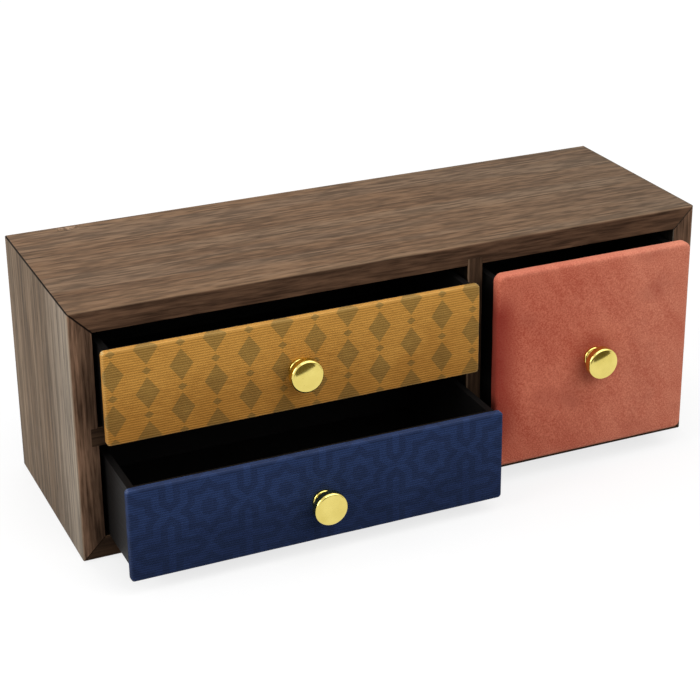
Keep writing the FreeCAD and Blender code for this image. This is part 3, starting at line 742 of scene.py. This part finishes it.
def ribbed_weave(name, node, ground, printed, thread, draw_print):
    """Cloth with a rib across it and a print that sinks into the yarn, paler where it folds and frays, with
    painted light towards its top and painted shade in the rib's hollows.
    """
    constants = {"Roughness": 0.85, "Specular IOR Level": 0.05, "Sheen Weight": 0.04, "Sheen Roughness": 0.5}
    paint = Paint(name, constants)
    across, up = paint.cloth_places()
    half_height = half_face(node)[1]
    rib = (up + paint.mark("rib_wander", across, up) * RIB_WANDER) / RIB_PITCH
    row = paint.math("FLOOR", rib)
    crests = paint.math("SINE", paint.math("FRACT", rib) * math.pi)
    slubs = paint.mark("yarn_slubs", across, row, detail=3.0, roughness=0.6)
    yarns = paint.math("SINE", across * (2 * math.pi / YARN_PITCH) + row * math.pi)
    fading = paint.mark("cloth_fading", across, up)
    # Painted light: lighter towards the top of the front
    rise = paint.step(up, -half_height, half_height)
    light = paint.fade("cloth_tone", total("cloth_tone", fading=fading, slubs=slubs, rise=rise))
    soak = total("print_soak", fuzz=paint.mark("cloth_fuzz", across, up))
    soaked = paint.smaller(draw_print(paint, across, up) * soak, 1.0)
    colour = paint.blend(soaked, paint.tones(light, ground), paint.tones(light, printed))
    colour = paint.tint(weave_paleness(paint, node, across, up), colour, thread)
    # Painted shade in the hollows of the rib and between the yarns, and the slubs' own tone
    level = total("cloth_shade_and_slubs", crests=crests, slubs=slubs, yarns=yarns)
    height = total("cloth_height", crests=crests, crossings=yarns * crests, slubs=slubs)
    return paint.finish(base_color=paint.shade(colour, level), normal=paint.bump(height))


def velvet_shade_and_depth(paint, x, z, low, high, patches):
    """How deep the velvet's colour is: painted shade at its left edge and round the knob, and deeper colour
    in smudges.
    """
    from_ends = paint.smaller(z - low.z, high.z - z)
    left_edge = paint.falling(x, low.x, low.x + VELVET_SHADE) * paint.step(from_ends, *VELVET_SHADE_ENDS)
    left_shade = left_edge * total("velvet_left_shade", patches=patches)
    knob_x, knob_z = knob_centre("tall") / MM
    # Painted shade round the knob
    knob_shade = paint.falling(paint.distance(x - knob_x, z - knob_z), *KNOB_SHADE_REACH)
    smudges = paint.fade("velvet_patches", patches)
    return paint.larger(left_shade, paint.larger(knob_shade * KNOB_SHADE_SHARE, smudges * SMUDGE_SHARE))


def velvet_painted_highlight(paint, x, z, low, high):
    """Painted highlight on the velvet along its top, right and bottom edges."""
    from_fold = paint.smaller(high.x - x, z - low.z)
    from_edge = paint.smaller(from_fold, high.z - z)
    edges = paint.falling(from_edge, 0.0, HIGHLIGHT_EDGE_WIDTH)
    folds = paint.falling(from_fold, 0.0, HIGHLIGHT_FOLD_WIDTH)
    return total("velvet_edge_highlight", edges=edges, folds=folds)


def coral_velvet():
    """Short-pile velvet, lighter towards its right as painted light, with painted shade at its left edge and
    round the knob, and painted highlight at its other edges.
    """
    constants = {"Roughness": 0.9, "Specular IOR Level": 0.05, "Sheen Weight": 0.15, "Sheen Roughness": 0.4}
    constants["Sheen Tint"] = from_srgb(CORAL_SHEEN)
    paint = Paint("coral_velvet", constants)
    x, y, z = paint.places()
    low, high = box_in_mm("tall_front_velvet")
    patches = paint.mark("velvet_patches", x, z, detail=3.0)
    strokes = paint.mark("velvet_strokes", x + z * STROKE_SLANT_SHARE, z)
    pile = paint.mark("velvet_pile", x, y, z, detail=3.0, roughness=0.7)
    light = paint.fade("velvet_light", total("velvet_light", patches=patches, strokes=strokes, pile=pile))
    # Painted light: lighter towards the right
    colour = paint.blend(
        paint.step(x, low.x, high.x),
        paint.tones(light, CORAL_LEFT_IN_SHADE),
        paint.tones(light, CORAL_RIGHT_IN_LIGHT),
    )
    # Painted shade at the left edge and round the knob, and deeper smudges
    colour = paint.tint(velvet_shade_and_depth(paint, x, z, low, high, patches), colour, CORAL_DEEP_AND_SHADE)
    # Painted highlight along the top, right and bottom edges
    colour = paint.tint(velvet_painted_highlight(paint, x, z, low, high), colour, CORAL_SHEEN)
    return paint.finish(base_color=colour, normal=paint.relief("velvet_pile", pile))


def cream_foam():
    paint = Paint("foam", {"Roughness": 0.9})
    cells = paint.mark("foam_cells", *paint.places(), detail=3.0, roughness=0.7)
    return paint.finish(base_color=paint.tones(cells, FOAM_CREAM), normal=paint.relief("foam_cells", cells))


def add_object(name, data):
    piece = bpy.data.objects.new(name, data)
    bpy.context.scene.collection.objects.link(piece)
    return piece


def to_mesh(name, geometry):
    """A smooth mesh from a finished bmesh."""
    mesh = bpy.data.meshes.new(name)
    geometry.to_mesh(mesh)
    geometry.free()
    mesh.shade_smooth()
    return mesh


def thicken(piece, thickness, offset):
    """Gives a sheet its thickness: behind its faces with an offset of -1, and half each way with 0."""
    modifier = piece.modifiers.new("thickness", "SOLIDIFY")
    modifier.thickness = thickness
    modifier.offset = offset


def cover_solid(node, material):
    """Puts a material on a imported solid."""
    for slot in nodes[node].material_slots:
        slot.material = material


def rounded_outline(half, radius, columns, rows):
    """Points round a rounded rectangle: the middle of each one's turn, and its way out."""
    a, b = half.x - radius, half.y - radius
    corners = [Vector((-a, -b)), Vector((a, -b)), Vector((a, b)), Vector((-a, b))]
    outline = []
    for side, start in enumerate(corners):
        end = corners[(side + 1) % len(corners)]
        count = rows if side % 2 else columns
        angle = (side - 1) * math.pi / 2
        for index in range(count + 1):
            outline.append((start.lerp(end, index / count), angle))
        for index in range(1, CORNER_STEPS):
            outline.append((end, angle + math.pi / 2 * index / CORNER_STEPS))
    return [(middle, Vector((math.cos(angle), math.sin(angle)))) for middle, angle in outline]


def wrap_profile(depth, edge, turn_in):
    """The way from the face round the edge to the back: each step's inset, depth and length run so far."""
    steps = []
    for index in range(EDGE_STEPS + 1):
        angle = math.pi / 2 * index / EDGE_STEPS
        steps.append((edge * (1 - math.sin(angle)), edge * (1 - math.cos(angle)), edge * angle))
    run = steps[-1][2]
    for index in range(1, SIDE_STEPS + 1):
        along = (depth - edge - BACK_EDGE) * index / SIDE_STEPS
        steps.append((0.0, edge + along, run + along))
    run = steps[-1][2]
    for index in range(1, EDGE_STEPS + 1):
        angle = math.pi / 2 * index / EDGE_STEPS
        inset = BACK_EDGE * (1 - math.cos(angle))
        steps.append((inset, depth - BACK_EDGE * (1 - math.sin(angle)), run + BACK_EDGE * angle))
    run = steps[-1][2]
    for index in range(1, TURN_STEPS + 1):
        along = (turn_in - BACK_EDGE) * index / TURN_STEPS
        steps.append((BACK_EDGE + along, depth, run + along))
    return steps


class Wrap:
    """A skin over the face of a drawer front, round its edges and on to its back."""

    def __init__(self, drawer, piece, sizes):
        self.low, self.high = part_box(f"{drawer}_{piece}")
        self.sizes = sizes
        self.corner = sizes["corner"]
        self.centre = Vector((self.low.x + self.high.x, self.low.z + self.high.z)) / 2
        self.knob = knob_centre(drawer) - self.centre
        self.half = Vector((self.high.x - self.low.x, self.high.z - self.low.z)) / 2
        self.columns, self.rows = [round((half - self.corner) / CELL) * 2 for half in self.half]
        self.geometry = bmesh.new()
        self.flat_places = {}

    def swell(self, place):
        """How far the face stands out at a place: nothing at its edges and under the knob."""
        rise_x = max(1 - abs(place.x / self.half.x) ** SWELL_POWER, 0)
        rise_z = max(1 - abs(place.y / self.half.y) ** SWELL_POWER, 0)
        held = math.exp(-(((place - self.knob).length / KNOB_DIMPLE) ** 2))
        return self.sizes["swell"] * rise_x * rise_z * (1 - held)

    def add_point(self, place, y, flat_place):
        """A point from its place about the face's centre, moved a little in or out."""
        uneven = noise.noise(Vector((place.x, y, place.y)) / UNEVEN_LENGTH) * UNEVEN_HEIGHT
        moved = self.centre + place * (1 + uneven / max(place.length, self.corner))
        vertex = self.geometry.verts.new((moved.x, y, moved.y))
        self.flat_places[vertex] = flat_place
        return vertex

    def add_face(self, *corners):
        unique = list(dict.fromkeys(corners))
        if len(unique) > 2:
            self.geometry.faces.new(unique)

    def add_grid(self, y, swells):
        """Rows of points over the middle of the face or of the back."""
        reach = self.half - Vector((self.corner, self.corner))
        grid = []
        for row in range(self.rows + 1):
            line = []
            for column in range(self.columns + 1):
                place = Vector((
                    reach.x * (2 * column / self.columns - 1),
                    reach.y * (2 * row / self.rows - 1),
                ))
                rise = self.swell(place) if swells else 0.0
                line.append(self.add_point(place, y - rise, place))
            grid.append(line)
        return grid

    def fill_grid(self, grid, hole_radius, faces_back):
        """Faces between a grid's points, left out round the knob's screw."""
        for near, far in zip(grid, grid[1:]):
            for corners in zip(near, near[1:], far[1:], far):
                middle = sum((vertex.co for vertex in corners), Vector()) / len(corners)
                from_screw = Vector((middle.x, middle.z)) - self.centre - self.knob
                if from_screw.length >= hole_radius:
                    self.add_face(*(corners[::-1] if faces_back else corners))

    def border(self, grid):
        """The grid's outer points in the order of an outline, each corner repeated for its arc."""
        sides = [
            grid[0],
            [line[-1] for line in grid],
            grid[-1][::-1],
            [line[0] for line in grid][::-1],
        ]
        points = []
        for side in sides:
            points += side + [side[-1]] * (CORNER_STEPS - 1)
        return points

    def bridge(self, inner, outer):
        for index in range(len(inner)):
            following = (index + 1) % len(inner)
            self.add_face(outer[index], outer[following], inner[following], inner[index])

    def outline(self, inset, radius):
        half = self.half - Vector((inset, inset))
        return rounded_outline(half, radius, self.columns, self.rows)

    def wrap_round(self, ring, turn_in):
        """Carries a ring of points round the edge to the back, and gives the last ring."""
        edge = self.sizes["edge"]
        face_outline = self.outline(0.0, self.corner)
        for inset, depth, run in wrap_profile(self.high.y - self.low.y, edge, turn_in):
            radius = max(self.corner - inset, BACK_EDGE)
            next_ring = []
            for (middle, way), (face_middle, _) in zip(self.outline(inset, radius), face_outline):
                place = middle + way * radius
                flat_place = face_middle + way * (self.corner - edge + run)
                rise = self.swell(place) if depth < edge else 0.0
                next_ring.append(self.add_point(place, self.low.y + depth - rise, flat_place))
            self.bridge(ring, next_ring)
            ring = next_ring
        return ring

    def finish(self, name):
        flat = self.geometry.loops.layers.uv.new("flat")
        for face in self.geometry.faces:
            for loop in face.loops:
                loop[flat].uv = self.flat_places[loop.vert]
        return to_mesh(name, self.geometry)


def cloth_mesh(drawer, piece, sizes):
    """A cloth over a front, turned in on the back, with a hole for the knob's screw."""
    wrap = Wrap(drawer, piece, sizes)
    face = wrap.add_grid(wrap.low.y, swells=True)
    wrap.fill_grid(face, SCREW_HOLE, faces_back=False)
    wrap.wrap_round(wrap.border(face), TURN_IN)
    return wrap.finish(f"{drawer}_cover")


def pad_mesh(drawer, piece, sizes):
    """A closed pad with a swollen face and a flat back."""
    wrap = Wrap(drawer, piece, sizes)
    face = wrap.add_grid(wrap.low.y, swells=True)
    back = wrap.add_grid(wrap.high.y, swells=False)
    wrap.fill_grid(face, 0.0, faces_back=False)
    wrap.fill_grid(back, 0.0, faces_back=True)
    ring = wrap.wrap_round(wrap.border(face), sizes["corner"])
    wrap.bridge(ring, wrap.border(back))
    return wrap.finish(f"{drawer}_pad")


def add_cover(drawer, piece, sizes, material):
    """A cloth cover over a drawer's front, with the sizes that it was cut to."""
    node = f"{drawer}_{piece}"
    cover = add_object(f"{drawer}_cover", cloth_mesh(drawer, piece, sizes))
    cover.data.materials.append(material)
    thicken(cover, sizes["thickness"], -1.0)
    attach(cover, f"{drawer}_drawer")
    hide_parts(node)


def add_pad(material):
    pad = add_object("tall_pad", pad_mesh("tall", "front_foam", FOAM))
    pad.data.materials.append(material)
    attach(pad, "tall_drawer")
    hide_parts("tall_front_foam")


def arc(start, end, radius, hollow=False):
    """Points of an arc from start to end, end included, swelling to the right, or to the left if hollow."""
    chord = end - start
    left = Vector((-chord.y, chord.x)).normalized()
    height = math.sqrt(max(radius ** 2 - (chord.length / 2) ** 2, 0))
    centre = (start + end) / 2 + left * (-height if hollow else height)
    first = math.atan2(start.y - centre.y, start.x - centre.x)
    last = math.atan2(end.y - centre.y, end.x - centre.x)
    turn = (last - first + math.pi) % (2 * math.pi) - math.pi
    points = []
    for index in range(1, KNOB_ARC_STEPS + 1):
        angle = first + turn * index / KNOB_ARC_STEPS
        points.append(centre + radius * Vector((math.cos(angle), math.sin(angle))))
    return points


def chord_radius(start, end, sink):
    """The radius of an arc through two points that lies sink away from the middle of their chord."""
    half_chord = (end - start).length / 2
    return (half_chord ** 2 + sink ** 2) / (2 * sink)


def knob_profile(head_radius, projection):
    """The knob's half section from the rim of its base to the rim of its crown, as radius and height."""
    base_rim = Vector((KNOB_BASE_RADIUS, KNOB_BASE_RIM))
    cove_foot = Vector((KNOB_BASE_RADIUS - KNOB_BASE_ROUND, KNOB_BASE_RIM + KNOB_BASE_ROUND))
    cove_top = Vector((head_radius - KNOB_HEAD_ROUND, KNOB_HEAD_BACK))
    head_side = Vector((head_radius, KNOB_HEAD_BACK + KNOB_HEAD_ROUND))
    face_side = Vector((head_radius, projection - KNOB_CROWN - KNOB_FACE_ROUND))
    face_edge = Vector((head_radius - KNOB_FACE_ROUND, projection - KNOB_CROWN))
    face_middle = Vector((0.0, projection))
    cove_sink = (cove_foot.x + cove_top.x) / 2 - KNOB_NECK_RADIUS
    cove_radius = chord_radius(cove_foot, cove_top, cove_sink)
    face_radius = (face_edge.x ** 2 + KNOB_CROWN ** 2) / (2 * KNOB_CROWN)
    points = [Vector((KNOB_BASE_RADIUS, 0.0)), base_rim]
    points += arc(base_rim, cove_foot, KNOB_BASE_ROUND)
    points += arc(cove_foot, cove_top, cove_radius, hollow=True)
    points += arc(cove_top, head_side, KNOB_HEAD_ROUND)
    points += [face_side]
    points += arc(face_side, face_edge, KNOB_FACE_ROUND)
    points += arc(face_edge, face_middle, face_radius)
    return points[:-1]


def turned_mesh(name, profile, foot, projection):
    """A profile turned about an axis that runs forward from foot, closed at both ends."""
    geometry = bmesh.new()
    rings = []
    for point in profile:
        ring = []
        for side in range(KNOB_SIDES):
            angle = 2 * math.pi * side / KNOB_SIDES
            place = Vector((math.cos(angle) * point.x, -point.y, math.sin(angle) * point.x))
            ring.append(geometry.verts.new(foot + place))
        rings.append(ring)
    ends = [geometry.verts.new(foot - Vector((0.0, height, 0.0))) for height in (0.0, projection)]
    for side in range(KNOB_SIDES):
        following = (side + 1) % KNOB_SIDES
        for lower, upper in zip(rings, rings[1:]):
            geometry.faces.new((lower[side], lower[following], upper[following], upper[side]))
        geometry.faces.new((ends[0], rings[0][following], rings[0][side]))
        geometry.faces.new((ends[1], rings[-1][side], rings[-1][following]))
    bmesh.ops.recalc_face_normals(geometry, faces=geometry.faces)
    mesh = to_mesh(name, geometry)
    mesh.set_sharp_from_angle(angle=KNOB_CREASE)
    return mesh


def add_knob(drawer, material):
    node = f"{drawer}_knob"
    low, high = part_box(node)
    projection = high.y - low.y
    profile = knob_profile((high.x - low.x) / 2, projection)
    foot = Vector(((low.x + high.x) / 2, high.y, (low.z + high.z) / 2))
    knob = add_object(f"{drawer}_turned_knob", turned_mesh(node, profile, foot, projection))
    knob.data.materials.append(material)
    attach(knob, f"{drawer}_drawer")
    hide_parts(node)


def glue_mesh():
    """Sheets in the four mitres, in front of the back panel and behind it."""
    low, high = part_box("top_board")
    panel_low, panel_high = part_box("back_panel")
    half_width = solids_box[1].x
    board = high.z - low.z
    spans = ((low.y, panel_low.y), (panel_high.y, high.y))
    geometry = bmesh.new()
    for side in (-1, 1):
        for outer_z, inward in ((0.0, 1), (high.z, -1)):
            for front, back in spans:
                corners = []
                for inset, y in ((GLUE_RECESS, front), (board, front), (board, back), (GLUE_RECESS, back)):
                    shy = GLUE_RECESS if y == front else -GLUE_RECESS
                    place = (side * (half_width - inset), y + shy, outer_z + inward * inset)
                    corners.append(geometry.verts.new(place))
                geometry.faces.new(corners)
    return to_mesh("mitre_glue", geometry)


def add_glue(material):
    glue = add_object("mitre_glue", glue_mesh())
    glue.data.materials.append(material)
    thicken(glue, GLUE_THICKNESS, 0.0)
    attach(glue, "cabinet")


def add_camera():
    data = bpy.data.cameras.new("camera")
    data.lens = CAMERA_LENS
    data.shift_y = CAMERA_SHIFT_SHARE
    camera = add_object("camera", data)
    level = math.cos(CAMERA_ELEVATION)
    ahead = Vector((
        math.sin(CAMERA_AZIMUTH) * level,
        math.cos(CAMERA_AZIMUTH) * level,
        -math.sin(CAMERA_ELEVATION),
    ))
    turned = ahead.to_track_quat("-Z", "Y").to_matrix() @ Matrix.Rotation(CAMERA_ROLL, 3, "Z")
    camera.matrix_world = Matrix.Translation(CAMERA_TARGET - ahead * CAMERA_DISTANCE) @ turned.to_4x4()
    bpy.context.scene.camera = camera


def shown_to_eye_and_gloss(tree):
    """1 for a ray from the camera, or one mirrored or seen through something, and otherwise 0."""
    path = tree.nodes.new("ShaderNodeLightPath")
    shown = path.outputs["Is Camera Ray"]
    for name in ("Is Glossy Ray", "Is Transmission Ray"):
        node = tree.nodes.new("ShaderNodeMath")
        node.operation = "MAXIMUM"
        tree.links.new(shown, node.inputs[0])
        tree.links.new(path.outputs[name], node.inputs[1])
        shown = node.outputs[0]
    return shown


def light_world():
    """White to the eye and in gloss, and a plain soft light on everything else."""
    world = bpy.data.worlds.new("studio")
    bpy.context.scene.world = world
    world.use_nodes = True
    tree = world.node_tree
    strength = tree.nodes.new("ShaderNodeMapRange")
    strength.inputs["To Min"].default_value = WORLD_LEVEL
    strength.inputs["To Max"].default_value = 1.0
    tree.links.new(shown_to_eye_and_gloss(tree), strength.inputs["Value"])
    background = tree.nodes["Background"]
    background.inputs["Color"].default_value = WHITE
    tree.links.new(strength.outputs[0], background.inputs["Strength"])


def add_plane(name, corners):
    """A flat piece of the stage, and the paint of its dull material."""
    mesh = bpy.data.meshes.new(name)
    mesh.from_pydata(corners, [], [range(len(corners))])
    plane = add_object(name, mesh)
    paint = Paint(name, {"Roughness": 1.0, "Specular IOR Level": 0.0})
    mesh.materials.append(paint.material)
    return plane, paint


def add_floor():
    """A pale floor that glows to the eye, so that it is white where no shadow falls."""
    reach = FLOOR_SIZE / 2
    ways = ((-1, -1), (1, -1), (1, 1), (-1, 1))
    _, paint = add_plane("floor", [(reach * x, reach * y, -FLOOR_GAP) for x, y in ways])
    distance = paint.add("ShaderNodeVectorMath", operation="LENGTH")
    paint.tree.links.new(paint.add("ShaderNodeTexCoord").outputs["Object"], distance.inputs[0])
    strength = paint.add("ShaderNodeMapRange")
    strength.inputs["From Min"].default_value, strength.inputs["From Max"].default_value = FLOOR_FADE
    strength.inputs["To Min"].default_value = FLOOR_GLOW
    strength.inputs["To Max"].default_value = FAR_FLOOR_GLOW
    paint.tree.links.new(distance.outputs["Value"], strength.inputs["Value"])
    glow = Wire(paint, shown_to_eye_and_gloss(paint.tree)) * Wire(paint, strength.outputs[0])
    grey = (FLOOR_SHADE, FLOOR_SHADE, FLOOR_SHADE, 1.0)
    paint.finish(base_color=grey, emission_color=WHITE, emission_strength=glow)


def add_cards():
    """Low brown cards that stand in front of the chest, seen only in the gloss of the knobs."""
    for name, (left, right) in CARDS.items():
        card, paint = add_plane(name, [left, right, right + CARD_HEIGHT, left + CARD_HEIGHT])
        paint.finish(base_color=from_srgb(CARD_BROWN))
        card.visible_camera = False
        card.visible_diffuse = False
        card.visible_transmission = False
        card.visible_shadow = False


def add_lamps():
    middle = (solids_box[0] + solids_box[1]) / 2
    for name, (place, side, level) in LAMPS.items():
        lamp = bpy.data.lights.new(name, "AREA")
        lamp.shape = "SQUARE"
        lamp.size = side
        lamp.energy = level * math.pi ** 2 * (place - middle).length_squared
        holder = add_object(name, lamp)
        facing = (middle - place).to_track_quat("-Z", "Y")
        holder.matrix_world = Matrix.Translation(place) @ facing.to_matrix().to_4x4()


def dress_carcass():
    for node, looks in BOARDS.items():
        cover_solid(node, walnut(node, *looks))
    cover_solid("back_panel", black_board("black_back", "X"))
    add_glue(dark_glue())


def dress_drawers():
    box_sides = black_board("black_sides", "Y")
    box_ends = black_board("black_ends", "X")
    mdf = fibreboard()
    steel = zinc_steel()
    gold = brass()
    for drawer in DRAWERS:
        for piece in ("box_left", "box_right"):
            cover_solid(f"{drawer}_{piece}", box_sides)
        for piece in ("box_front", "box_back", "box_bottom"):
            cover_solid(f"{drawer}_{piece}", box_ends)
        for piece in ("knob_screw", "knob_washer"):
            cover_solid(f"{drawer}_{piece}", steel)
        cover_solid(f"{drawer}_front_board", mdf)
        add_knob(drawer, gold)
    mustard = ribbed_weave(
        "mustard_weave", "upper_front_weave", MUSTARD, MUSTARD_PRINT, MUSTARD_THREAD, lozenge_print
    )
    navy = ribbed_weave("navy_weave", "lower_front_weave", NAVY, NAVY_PRINT, NAVY_THREAD, star_print)
    add_cover("upper", "front_weave", WEAVE, mustard)
    add_cover("lower", "front_weave", WEAVE, navy)
    add_cover("tall", "front_velvet", VELVET, coral_velvet())
    add_pad(cream_foam())


bpy.context.scene.view_settings.view_transform = "Standard"
add_camera()
light_world()
add_floor()
add_cards()
add_lamps()
dress_carcass()
dress_drawers()
